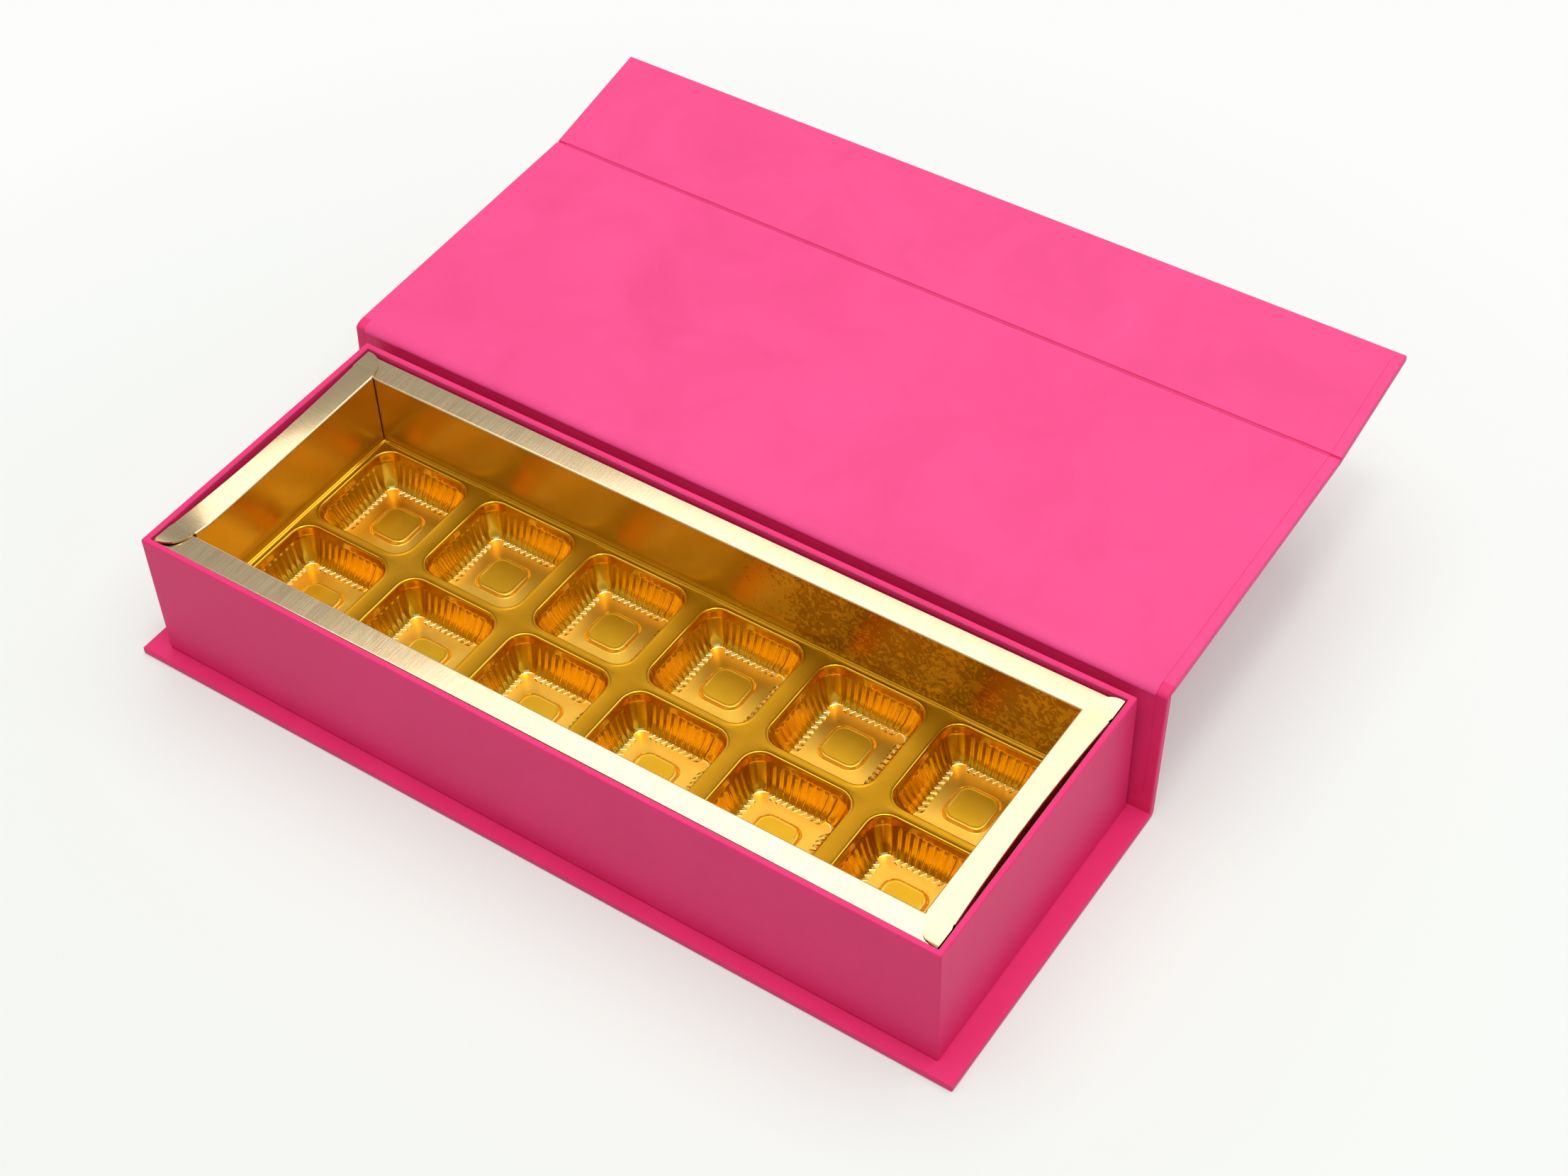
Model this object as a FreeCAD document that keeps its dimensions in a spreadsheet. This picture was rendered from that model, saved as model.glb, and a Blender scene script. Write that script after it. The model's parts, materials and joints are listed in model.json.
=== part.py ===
"""A book-style chocolate box: a wrapped tray with a gold insert, on a case that folds over it.

Millimetres, +Z up, +X along the tray's length, +Y towards the spine. The origin is on the
underside of the base board, under the tray's middle. The box is built as it stands open: the spine
leans back, the lid reaches out behind it, and the flap is tipped up at the lid's far edge.
"""

import FreeCAD, Part
import os
import re

import Sketcher

SIZES = {
    # the tray, whose length and width follow from the insert that it holds
    "tray_height": 41.0,
    "tray_board": 1.4,
    "tray_turn_in": 18.0,
    "tray_foot_turn_in": 14.0,
    # paper, and the tape that ties the tray's corners
    "paper": 0.15,
    "stay_tape": 0.1,
    "stay_leg": 14.0,
    "stay_margin": 3.5,
    # the case: base, spine, lid and flap boards in one paper cover
    "case_board": 2.0,
    "side_overhang": 6.4,
    "front_overhang": 4.2,
    "case_turn_in": 15.0,
    "liner_margin": 3.2,
    "spine_liner_foot": 5.0,
    "flap_short_of_base": 3.1,
    # room round the closed tray
    "spine_gap": 0.3,
    "lid_gap": 0.3,
    "flap_gap": 0.3,
    # the three folds: how far each board stops short of its fold line
    "foot_fold": 1.4,
    "spine_top_fold": 1.2,
    "lid_fold": 2.4,
    "lid_fold_depth": 0.8,
    "flap_fold": 0.5,
    "paper_rise": 0.35,
    # how the box stands open, in degrees
    "spine_lean": 3.3,
    "lid_tilt": 1.65,
    "flap_tilt": 11.3,
    # the catch in the flap and in the front wall
    "magnet_diameter": 10.0,
    "magnet_thickness": 1.2,
    "magnet_spacing": 160.0,
    "magnet_height": 13.0,
    "magnet_clearance": 0.1,
    # the folded gold card frame
    "card": 0.5,
    "frame_clearance": 0.4,
    "rim_drop": 0.8,
    "short_rim": 7.8,
    "long_rim": 7.3,
    "tab_radius": 6.0,
    "tab_tip_radius": 1.5,
    # the vacuum-formed blister tray
    "sheet": 0.4,
    "blister_clearance": 0.3,
    "flange_height": 17.6,
    "columns": 6,
    "rows": 2,
    "web_along": 5.8,
    "web_across": 3.2,
    "web_round": 3.1,
    "cavity_opening": 30.8,
    "cavity_floor": 23.0,
    "cavity_depth": 9.3,
    "mouth_radius": 5.0,
    "floor_radius": 3.0,
    "pad_size": 11.0,
    "pad_radius": 2.0,
    "pad_height": 1.2,
}

# Distances from the box's middle, from the cavities outwards, as formulas of the sizes above.
PITCH_X = "(cavity_opening + web_along)"
PITCH_Y = "(cavity_opening + web_across)"
OPENING_X = f"(((columns - 1) * {PITCH_X} + cavity_opening) / 2 + web_round)"
OPENING_Y = f"(((rows - 1) * {PITCH_Y} + cavity_opening) / 2 + web_round)"
FRAME_X = f"({OPENING_X} + short_rim)"
FRAME_Y = f"({OPENING_Y} + long_rim)"
BOARD_X = f"({FRAME_X} + frame_clearance + paper)"
BOARD_Y = f"({FRAME_Y} + frame_clearance + paper)"
FACE_X = f"({BOARD_X} + tray_board)"
FACE_Y = f"({BOARD_Y} + tray_board)"
TRAY_X = f"({FACE_X} + stay_tape + paper)"
TRAY_Y = f"({FACE_Y} + stay_tape + paper)"
CASE_HALF = f"({TRAY_X} + side_overhang)"

# Levels that several pieces share.
BASE_TOP = "(case_board + 2 * paper)"
CASE_THICK = "(case_board + 3 * paper)"
TRAY_TOP = f"({BASE_TOP} + tray_height)"
TRAY_FLOOR = f"({BASE_TOP} + paper + tray_board)"
RIM_TOP = f"({TRAY_TOP} - rim_drop)"
FLANGE_TOP = f"({BASE_TOP} + flange_height)"
CUP_FLOOR = f"({FLANGE_TOP} - cavity_depth)"

# Fold lines run along X. The foot fold is level with the middle of the boards, so that the spine
# can stand against the tray or lie flat behind it. The others are placed for the closed box.
HALF_THICK = f"({CASE_THICK} / 2)"
FOOT_Y = f"({TRAY_Y} + spine_gap + {HALF_THICK})"
FOOT_Z = HALF_THICK
SPINE_LENGTH = f"({TRAY_TOP} + lid_gap + lid_fold_depth - {HALF_THICK})"
LID_LENGTH = f"({FOOT_Y} + {TRAY_Y} + flap_gap)"
FLAP_DEPTH = "(tray_height + lid_gap - flap_short_of_base)"
LID_OUTER = f"({CASE_THICK} - lid_fold_depth)"

LEAN = "(90 - spine_lean)"
SPINE_TOP_Y = f"({FOOT_Y} + {SPINE_LENGTH} * cos({LEAN} * 1 deg))"
SPINE_TOP_Z = f"({FOOT_Z} + {SPINE_LENGTH} * sin({LEAN} * 1 deg))"
CREASE_Y = f"({SPINE_TOP_Y} + {LID_LENGTH} * cos(lid_tilt * 1 deg) - lid_fold_depth * sin(lid_tilt * 1 deg))"
CREASE_Z = f"({SPINE_TOP_Z} + {LID_LENGTH} * sin(lid_tilt * 1 deg) + lid_fold_depth * cos(lid_tilt * 1 deg))"

document = FreeCAD.newDocument("chocolate_box")
sheet = document.addObject("Spreadsheet::Sheet", "Sizes")
for row, (alias, size) in enumerate(SIZES.items(), start=1):
    sheet.set(f"A{row}", alias)
    sheet.set(f"B{row}", str(size))
    sheet.setAlias(f"B{row}", alias)
document.recompute()

SUBPARTS = []


def formula(text):
    """Make each word of the size table a reference to its cell."""
    return re.sub(
        r"[a-z_]+",
        lambda word: f"Sizes.{word[0]}" if word[0] in SIZES else word[0],
        str(text),
    )


def value(text):
    """Work out a formula as a plain number of millimetres."""
    found = sheet.evalExpression(formula(text))
    return float(getattr(found, "Value", found))


def bind(thing, **formulas):
    """Bind properties of an object; a double underscore stands for a dot in the property's path."""
    for path, text in formulas.items():
        thing.setExpression(path.replace("__", "."), formula(text))


def keep(thing, label):
    """Mark an object as a sub-part under the name of its file."""
    thing.Label = label
    SUBPARTS.append(thing)
    return thing


# --- sketches and features of a body ---------------------------------------------------------


def new_body(label):
    return keep(document.addObject("PartDesign::Body", label), label)


def new_sketch(body, plane, offset="0"):
    """A sketch on one of the body's own origin planes, moved along the plane's normal."""
    sketch = body.newObject("Sketcher::SketchObject", body.Name + "_sketch")
    support = next(item for item in body.Origin.OriginFeatures if item.Role == plane)
    sketch.AttachmentSupport = [(support, "")]
    sketch.MapMode = "FlatFace"
    bind(sketch, AttachmentOffset__Base__z=offset)
    return sketch


def dimension(sketch, kind, first, point, text):
    """Hold a point of the geometry at a distance from the sketch's origin."""
    number = sketch.addConstraint(
        Sketcher.Constraint(kind, -1, 1, first, point, value(text))
    )
    sketch.setExpression(f"Constraints[{number}]", formula(text))


def outline(sketch, points):
    """Add a closed outline of straight lines through points given as pairs of formulas."""
    places = [FreeCAD.Vector(value(x), value(y), 0) for x, y in points]
    first = sketch.GeometryCount
    count = len(points)
    for number in range(count):
        ends = places[number], places[(number + 1) % count]
        sketch.addGeometry(Part.LineSegment(*ends), False)
    for number in range(count):
        following = first + (number + 1) % count
        sketch.addConstraint(
            Sketcher.Constraint("Coincident", first + number, 2, following, 1)
        )
    for number, (x, y) in enumerate(points):
        dimension(sketch, "DistanceX", first + number, 1, x)
        dimension(sketch, "DistanceY", first + number, 1, y)


def rectangle(sketch, left, right, near, far):
    outline(sketch, [(left, near), (right, near), (right, far), (left, far)])


def centred_rectangle(sketch, half_x, half_y):
    rectangle(sketch, f"-({half_x})", half_x, f"-({half_y})", half_y)


def circle(sketch, x, y, radius):
    centre = FreeCAD.Vector(value(x), value(y), 0)
    number = sketch.addGeometry(
        Part.Circle(centre, FreeCAD.Vector(0, 0, 1), value(radius)), False
    )
    dimension(sketch, "DistanceX", number, 3, x)
    dimension(sketch, "DistanceY", number, 3, y)
    size = sketch.addConstraint(Sketcher.Constraint("Radius", number, value(radius)))
    sketch.setExpression(f"Constraints[{size}]", formula(radius))


def rounded_square(sketch, x, y, half, radius):
    """A square with round corners: four sides, each followed by the arc at its far end."""
    centre = FreeCAD.Vector(value(x), value(y), 0)
    turn = FreeCAD.Rotation(FreeCAD.Vector(0, 0, 1), 90)
    reach, corner = value(half), value(radius)
    start = FreeCAD.Vector(corner - reach, -reach, 0)
    end = FreeCAD.Vector(reach - corner, -reach, 0)
    hub = FreeCAD.Vector(reach - corner, corner - reach, 0)
    middle = hub + FreeCAD.Vector(corner, -corner, 0) * 0.5**0.5
    finish = FreeCAD.Vector(reach, corner - reach, 0)
    for _ in range(4):
        sketch.addGeometry(Part.LineSegment(centre + start, centre + end), False)
        sketch.addGeometry(
            Part.Arc(centre + end, centre + middle, centre + finish), False
        )
        start, end, middle, finish = (
            turn.multVec(point) for point in (start, end, middle, finish)
        )
    for side in range(0, 8, 2):
        sketch.addConstraint(Sketcher.Constraint("Tangent", side, 2, side + 1, 1))
        sketch.addConstraint(
            Sketcher.Constraint("Tangent", side + 1, 2, (side + 2) % 8, 1)
        )
        kind = "Horizontal" if side % 4 == 0 else "Vertical"
        sketch.addConstraint(Sketcher.Constraint(kind, side))
        if side:
            sketch.addConstraint(Sketcher.Constraint("Equal", 1, side + 1))
    size = sketch.addConstraint(Sketcher.Constraint("Radius", 1, corner))
    sketch.setExpression(f"Constraints[{size}]", formula(radius))
    dimension(sketch, "DistanceY", 0, 1, f"({y}) - ({half})")
    dimension(sketch, "DistanceX", 2, 1, f"({x}) + ({half})")
    dimension(sketch, "DistanceY", 4, 1, f"({y}) + ({half})")
    dimension(sketch, "DistanceX", 6, 1, f"({x}) - ({half})")


def pad(body, sketch, length, **settings):
    return feature(body, "PartDesign::Pad", sketch, length, settings)


def pocket(body, sketch, length, **settings):
    return feature(body, "PartDesign::Pocket", sketch, length, settings)


def feature(body, kind, sketch, length, settings):
    """Add a pad or a pocket, and stop if it changes nothing."""
    before = body.Shape.Volume if body.Tip else 0
    made = body.newObject(kind, body.Name + "_" + kind.split("::")[1].lower())
    made.Profile = sketch
    bind(made, Length=length)
    for name, setting in settings.items():
        setattr(made, name, setting)
    document.recompute()
    if abs(body.Shape.Volume - before) < 1e-6:
        raise RuntimeError(f"{made.Name} changes nothing")
    return made


# --- the case: boards, paper covers and liners ------------------------------------------------


def place_panel(body, y, z, angle):
    """Put a panel modelled from its fold line along local Y where it lies in the open box."""
    body.Placement = FreeCAD.Placement(
        FreeCAD.Vector(), FreeCAD.Rotation(FreeCAD.Vector(1, 0, 0), 10)
    )
    bind(
        body,
        Placement__Base__y=y,
        Placement__Base__z=z,
        Placement__Rotation__Angle=f"{angle} * 1 deg",
    )


def board(label, near, far, outer_face, magnets_at=None):
    """One greyboard panel; the flap's has two holes that the magnets are let into."""
    body = new_body(label)
    sketch = new_sketch(body, "XY_Plane", f"{outer_face} + paper")
    half = f"{CASE_HALF} - paper"
    rectangle(sketch, f"-({half})", half, near, far)
    if magnets_at:
        for side in ("-", ""):
            circle(
                sketch,
                f"{side}magnet_spacing / 2",
                magnets_at,
                "magnet_diameter / 2 + magnet_clearance",
            )
    pad(body, sketch, "case_board")
    return body


def cover(label, near, far, outer_face, near_turned=False, far_turned=False):
    """Paper over a board's outer face, round its outer edges, and turned in on the inner face.

    An edge that lies at a fold isn't turned: the paper runs on there to the next board.
    """
    body = new_body(label)
    full = new_sketch(body, "XY_Plane", outer_face)
    rectangle(full, f"-{CASE_HALF}", CASE_HALF, near, far)
    pad(body, full, BASE_TOP)

    def inside(height, inset):
        """The cover's outline less an inset at each turned edge, and past it at each fold."""
        sketch = new_sketch(body, "XY_Plane", f"{outer_face} + {height}")
        half = f"{CASE_HALF} - ({inset})"
        start = f"{near} + ({inset})" if near_turned else f"{near} - paper"
        end = f"{far} - ({inset})" if far_turned else f"{far} + paper"
        rectangle(sketch, f"-({half})", half, start, end)
        return sketch

    pocket(body, inside("paper + case_board", "paper"), "case_board")
    pocket(body, inside(BASE_TOP, "paper + case_turn_in"), "paper")
    return body


def liner(label, near, far, outer_face):
    """Paper over a panel's inner face, short of its outer edges."""
    body = new_body(label)
    sketch = new_sketch(body, "XY_Plane", f"{outer_face} + {BASE_TOP}")
    half = f"{CASE_HALF} - liner_margin"
    rectangle(sketch, f"-({half})", half, near, far)
    pad(body, sketch, "paper")
    return body


base_front = f"-({TRAY_Y} + front_overhang)"
base_back = f"{FOOT_Y} - foot_fold"
board("base_board", f"{base_front} + paper", base_back, "0")
cover("base_cover", base_front, base_back, "0", near_turned=True)

spine_far = f"{SPINE_LENGTH} - spine_top_fold"
spine_face = f"-{HALF_THICK}"
for panel in (
    board("spine_board", "foot_fold", spine_far, spine_face),
    cover("spine_cover", "foot_fold", spine_far, spine_face),
    liner("spine_liner", "foot_fold + spine_liner_foot", spine_far, spine_face),
):
    place_panel(panel, FOOT_Y, FOOT_Z, LEAN)

lid_far = f"{LID_LENGTH} - flap_fold"
lid_face = f"-{LID_OUTER}"
for panel in (
    board("lid_board", "lid_fold", lid_far, lid_face),
    cover("lid_cover", "lid_fold", lid_far, lid_face),
    liner("lid_liner", "lid_fold", lid_far, lid_face),
):
    place_panel(panel, SPINE_TOP_Y, SPINE_TOP_Z, "lid_tilt")

flap_face = f"-{CASE_THICK}"
magnet_reach = "(tray_height + lid_gap - magnet_height)"
for panel in (
    board("flap_board", "flap_fold", f"{FLAP_DEPTH} - paper", flap_face, magnet_reach),
    cover("flap_cover", "flap_fold", FLAP_DEPTH, flap_face, far_turned=True),
    liner("flap_liner", "flap_fold", f"{FLAP_DEPTH} - liner_margin", flap_face),
):
    place_panel(panel, CREASE_Y, CREASE_Z, "flap_tilt")


# --- the paper that crosses each fold ----------------------------------------------------------


def along(y, z, angle, reach, rise):
    """A point of a panel's frame, as a pair of formulas in the box's own Y and Z."""
    turn = f"({angle} * 1 deg)"
    return (
        f"{y} + ({reach}) * cos{turn} - ({rise}) * sin{turn}",
        f"{z} + ({reach}) * sin{turn} + ({rise}) * cos{turn}",
    )


def on_base(reach, rise):
    return along(FOOT_Y, FOOT_Z, "0", reach, rise)


def on_spine_foot(reach, rise):
    return along(FOOT_Y, FOOT_Z, LEAN, reach, rise)


def on_spine_top(reach, rise):
    return along(SPINE_TOP_Y, SPINE_TOP_Z, LEAN, reach, rise)


def on_lid(reach, rise):
    return along(SPINE_TOP_Y, SPINE_TOP_Z, "lid_tilt", reach, rise)


def on_flap(reach, rise):
    return along(CREASE_Y, CREASE_Z, "flap_tilt", reach, rise)


def fold(label, half_length, points):
    """A strip of paper along X whose section goes from one panel's edge to the next one's."""
    body = new_body(label)
    section = new_sketch(body, "YZ_Plane")
    outline(section, points)
    pad(body, section, f"2 * ({half_length})", Midplane=True)


inner_half = f"{HALF_THICK} - paper"
fold(
    "foot_fold_cover",
    CASE_HALF,
    [
        on_base("-foot_fold", f"-{HALF_THICK}"),
        on_base("0", f"-{HALF_THICK}"),
        on_spine_foot("0", f"-{HALF_THICK}"),
        on_spine_foot("foot_fold", f"-{HALF_THICK}"),
        on_spine_foot("foot_fold", f"-({inner_half})"),
        on_spine_foot("0", f"-({inner_half})"),
        on_base("0", f"-({inner_half})"),
        on_base("-foot_fold", f"-({inner_half})"),
    ],
)
fold(
    "lid_fold_cover",
    CASE_HALF,
    [
        on_spine_top("-spine_top_fold", f"-{HALF_THICK}"),
        on_spine_top("paper_rise - spine_top_fold", f"-{HALF_THICK}"),
        on_lid("lid_fold", f"-{LID_OUTER}"),
        on_lid("lid_fold", f"paper - {LID_OUTER}"),
        on_spine_top("paper_rise + paper - spine_top_fold", f"-({inner_half})"),
        on_spine_top("-spine_top_fold", f"-({inner_half})"),
    ],
)
fold(
    "lid_fold_liner",
    f"{CASE_HALF} - liner_margin",
    [
        on_spine_top("-spine_top_fold", HALF_THICK),
        on_spine_top("0", HALF_THICK),
        on_lid("0", "lid_fold_depth"),
        on_lid("lid_fold", "lid_fold_depth"),
        on_lid("lid_fold", "lid_fold_depth - paper"),
        on_lid("0", "lid_fold_depth - paper"),
        on_spine_top("0", inner_half),
        on_spine_top("-spine_top_fold", inner_half),
    ],
)
fold(
    "flap_fold_cover",
    CASE_HALF,
    [
        on_lid(f"{LID_LENGTH} - flap_fold", f"-{LID_OUTER}"),
        on_flap("flap_fold", f"-{CASE_THICK}"),
        on_flap("flap_fold", f"paper - {CASE_THICK}"),
        on_lid(f"{LID_LENGTH} - flap_fold", f"paper - {LID_OUTER}"),
    ],
)
fold(
    "flap_fold_liner",
    f"{CASE_HALF} - liner_margin",
    [
        on_lid(f"{LID_LENGTH} - flap_fold", "lid_fold_depth - paper"),
        on_flap("flap_fold", "-paper"),
        on_flap("flap_fold", "0"),
        on_lid(f"{LID_LENGTH} - flap_fold", "lid_fold_depth"),
    ],
)


# --- the tray: five boards, corner tape and a paper wrap ---------------------------------------


def block(name, left, right, near, far, low, high):
    """A plain block between six faces."""
    made = document.addObject("Part::Box", name)
    bind(
        made,
        Length=f"({right}) - ({left})",
        Width=f"({far}) - ({near})",
        Height=f"({high}) - ({low})",
        Placement__Base__x=left,
        Placement__Base__y=near,
        Placement__Base__z=low,
    )
    return made


wall_foot = f"({BASE_TOP} + paper)"
wall_top = f"({TRAY_TOP} - paper)"
minus_x, minus_y = f"-{BOARD_X}", f"-{BOARD_Y}"

keep(
    block("tray_floor", minus_x, BOARD_X, minus_y, BOARD_Y, wall_foot, TRAY_FLOOR),
    "tray_floor_board",
)
keep(
    block("tray_back", f"-{FACE_X}", FACE_X, BOARD_Y, FACE_Y, wall_foot, wall_top),
    "tray_back_board",
)
keep(
    block("tray_left", f"-{FACE_X}", minus_x, minus_y, BOARD_Y, wall_foot, wall_top),
    "tray_left_board",
)
keep(
    block("tray_right", BOARD_X, FACE_X, minus_y, BOARD_Y, wall_foot, wall_top),
    "tray_right_board",
)

front_board = new_body("tray_front_board")
front_sketch = new_sketch(front_board, "XZ_Plane", BOARD_Y)
rectangle(front_sketch, f"-{FACE_X}", FACE_X, wall_foot, wall_top)
for hand in ("-", ""):
    circle(
        front_sketch,
        f"{hand}magnet_spacing / 2",
        f"{BASE_TOP} + magnet_height",
        "magnet_diameter / 2 + magnet_clearance",
    )
pad(front_board, front_sketch, "tray_board")

tray_wrap = new_body("tray_wrap")
wrap_block = new_sketch(tray_wrap, "XY_Plane", BASE_TOP)
centred_rectangle(wrap_block, TRAY_X, TRAY_Y)
pad(tray_wrap, wrap_block, "tray_height")

wall_slot = new_sketch(tray_wrap, "XY_Plane", wall_top)
centred_rectangle(wall_slot, f"{TRAY_X} - paper", f"{TRAY_Y} - paper")
centred_rectangle(wall_slot, BOARD_X, BOARD_Y)
pocket(tray_wrap, wall_slot, "tray_height - 2 * paper")

well = new_sketch(tray_wrap, "XY_Plane", TRAY_TOP)
centred_rectangle(well, f"{BOARD_X} - paper", f"{BOARD_Y} - paper")
pocket(tray_wrap, well, "tray_height - paper")

below_turn_in = new_sketch(tray_wrap, "XY_Plane", f"{TRAY_TOP} - tray_turn_in")
centred_rectangle(below_turn_in, BOARD_X, BOARD_Y)
pocket(tray_wrap, below_turn_in, "tray_height - tray_turn_in - paper")

foot_window = new_sketch(tray_wrap, "XY_Plane", wall_foot)
centred_rectangle(
    foot_window, f"{TRAY_X} - tray_foot_turn_in", f"{TRAY_Y} - tray_foot_turn_in"
)
pocket(tray_wrap, foot_window, "paper")


def corner_stay(side_x, side_y):
    """One L of tape on the outside of a corner, between the boards and the wrap."""

    def across(side, far, depth, spare):
        """From the tape's open end to a face, on one side of the middle or the other."""
        near = f"{far} - ({depth}) - {spare}"
        return (near, far) if side > 0 else (f"-({far})", f"-({near})")

    name = f"stay_{side_x + 1}{side_y + 1}"
    low, high = f"({BASE_TOP} + stay_margin)", f"({TRAY_TOP} - stay_margin)"
    outer_x = across(side_x, f"({TRAY_X} - paper)", "stay_leg", "0")
    outer_y = across(side_y, f"({TRAY_Y} - paper)", "stay_leg", "0")
    inner_x = across(side_x, FACE_X, "stay_leg", "1")
    inner_y = across(side_y, FACE_Y, "stay_leg", "1")
    tape = document.addObject("Part::Cut", name)
    tape.Base = block(name + "_outer", *outer_x, *outer_y, low, high)
    tape.Tool = block(name + "_inner", *inner_x, *inner_y, low, high)
    return tape


corner_stays = document.addObject("Part::Compound", "corner_stays")
corner_stays.Links = [corner_stay(x, y) for x in (-1, 1) for y in (-1, 1)]
keep(corner_stays, "corner_stays")


# --- the catch: magnets let into the flap, keepers let into the front wall ---------------------


def disc_pair(label, y, z, tilt):
    """Two discs on one line along X. A tilt of 90 degrees turns their axes to face forwards."""
    discs = []
    for hand in ("-", ""):
        disc = document.addObject("Part::Cylinder", label + ("_left" if hand else "_right"))
        disc.Placement = FreeCAD.Placement(
            FreeCAD.Vector(), FreeCAD.Rotation(FreeCAD.Vector(1, 0, 0), 10)
        )
        bind(
            disc,
            Radius="magnet_diameter / 2",
            Height="magnet_thickness",
            Placement__Base__x=f"{hand}magnet_spacing / 2",
            Placement__Base__y=y,
            Placement__Base__z=z,
            Placement__Rotation__Angle=f"{tilt} * 1 deg",
        )
        discs.append(disc)
    pair = document.addObject("Part::Compound", label)
    pair.Links = discs
    return keep(pair, label)


keeper_face = f"-{FACE_Y} + magnet_thickness"
disc_pair("front_wall_keepers", keeper_face, f"{BASE_TOP} + magnet_height", "90")
magnet_bed = f"{BASE_TOP} - paper - magnet_thickness - {CASE_THICK}"
disc_pair("flap_magnets", *on_flap(magnet_reach, magnet_bed), "flap_tilt")


# --- the gold card frame: two long sides, two short sides that lap over them -------------------


def channel(inner, outer, top):
    """A strip's section: inner wall, rim and outer wall, of one thickness of card."""
    return [
        (inner, FLANGE_TOP),
        (inner, top),
        (outer, top),
        (outer, TRAY_FLOOR),
        (f"{outer} - card", TRAY_FLOOR),
        (f"{outer} - card", f"{top} - card"),
        (f"{inner} + card", f"{top} - card"),
        (f"{inner} + card", FLANGE_TOP),
    ]


def mirrored(points):
    return [(f"-({across})", height) for across, height in points]


long_section = channel(OPENING_Y, FRAME_Y, f"({RIM_TOP} - card)")
for label, section_points in (
    ("frame_front", mirrored(long_section)),
    ("frame_back", long_section),
):
    body = new_body(label)
    section = new_sketch(body, "YZ_Plane")
    outline(section, section_points)
    pad(body, section, f"2 * ({FRAME_X} - 2 * card)", Midplane=True)


def corner_edges(shape, x, y):
    """Names of the upright edges that stand at a distance from the middle, on either side."""
    found = []
    for number, edge in enumerate(shape.Edges, start=1):
        ends = [vertex.Point for vertex in edge.Vertexes]
        upright = len(ends) == 2 and abs(ends[0].z - ends[1].z) > abs(ends[0].x - ends[1].x)
        if upright and abs(abs(ends[0].x) - x) < 0.01 and abs(abs(ends[0].y) - y) < 0.01:
            found.append(f"Edge{number}")
    return found


short_section = channel(OPENING_X, FRAME_X, RIM_TOP)
tab_end = FRAME_Y
inner_round = "min(tab_radius; short_rim - tab_tip_radius - paper; long_rim - paper)"
for label, hand in (("frame_left", "-"), ("frame_right", "")):
    body = new_body(label)
    section = new_sketch(body, "XZ_Plane")
    outline(section, mirrored(short_section) if hand else short_section)
    pad(body, section, f"2 * {OPENING_Y}", Midplane=True)
    rim = new_sketch(body, "XY_Plane", f"{RIM_TOP} - card")
    edges = f"{hand}{OPENING_X}", f"{hand}{FRAME_X}"
    rectangle(rim, *edges, f"-{tab_end}", tab_end)
    pad(body, rim, "card")
    for corner, radius in ((OPENING_X, inner_round), (FRAME_X, "tab_tip_radius")):
        square = body.Tip
        corners = corner_edges(square.Shape, value(corner), value(tab_end))
        rounded = body.newObject("PartDesign::Fillet", label + "_round")
        rounded.Base = (square, corners)
        bind(rounded, Radius=radius)
        document.recompute()


# --- the blister tray --------------------------------------------------------------------------

blister = new_body("blister_tray")
blister_x = f"({FRAME_X} - card - blister_clearance)"
blister_y = f"({FRAME_Y} - card - blister_clearance)"
flange = new_sketch(blister, "XY_Plane", f"{FLANGE_TOP} - sheet")
centred_rectangle(flange, blister_x, blister_y)
pad(blister, flange, "sheet")

skirt = new_sketch(blister, "XY_Plane", TRAY_FLOOR)
centred_rectangle(skirt, blister_x, blister_y)
centred_rectangle(skirt, f"{blister_x} - sheet", f"{blister_y} - sheet")
pad(blister, skirt, f"{FLANGE_TOP} - sheet - {TRAY_FLOOR}")

first_x = f"-((columns - 1) * {PITCH_X} / 2)"
first_y = f"-((rows - 1) * {PITCH_Y} / 2)"


def cup(kind, name, growth, floor_level):
    """A tapering cup in the first cavity's place, grown all round by a thickness."""
    mouth = new_sketch(blister, "XY_Plane", FLANGE_TOP)
    half = f"cavity_opening / 2 + {growth}"
    rounded_square(mouth, first_x, first_y, half, f"mouth_radius + {growth}")
    floor = new_sketch(blister, "XY_Plane", floor_level)
    half = f"cavity_floor / 2 + {growth}"
    rounded_square(floor, first_x, first_y, half, f"floor_radius + {growth}")
    loft = blister.newObject(kind, name)
    loft.Profile = mouth
    loft.Sections = [floor]
    loft.Ruled = True
    document.recompute()
    return loft


outside = cup("PartDesign::AdditiveLoft", "cup_outside", "sheet", f"{CUP_FLOOR} - sheet")
inside = cup("PartDesign::SubtractiveLoft", "cup_inside", "0", CUP_FLOOR)

raised = new_sketch(blister, "XY_Plane", CUP_FLOOR)
rounded_square(raised, first_x, first_y, "pad_size / 2", "pad_radius")
raised_pad = pad(blister, raised, "pad_height")
hollow = new_sketch(blister, "XY_Plane", f"{CUP_FLOOR} - sheet + pad_height")
rounded_square(
    hollow, first_x, first_y, "pad_size / 2 - sheet", "pad_radius - sheet"
)
pad_hollow = pocket(blister, hollow, "pad_height")

cavities = blister.newObject("PartDesign::LinearPattern", "cavities")
cavities.Originals = [outside, inside, raised_pad, pad_hollow]
cavities.Mode = "Extent"
cavities.Mode2 = "Extent"
cavities.Direction = (flange, ["H_Axis"])
cavities.Direction2 = (flange, ["V_Axis"])
bind(
    cavities,
    Occurrences="columns",
    Length=f"(columns - 1) * {PITCH_X}",
    Occurrences2="rows",
    Length2=f"(rows - 1) * {PITCH_Y}",
)
blister.Tip = cavities


# --- check and write ---------------------------------------------------------------------------

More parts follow.
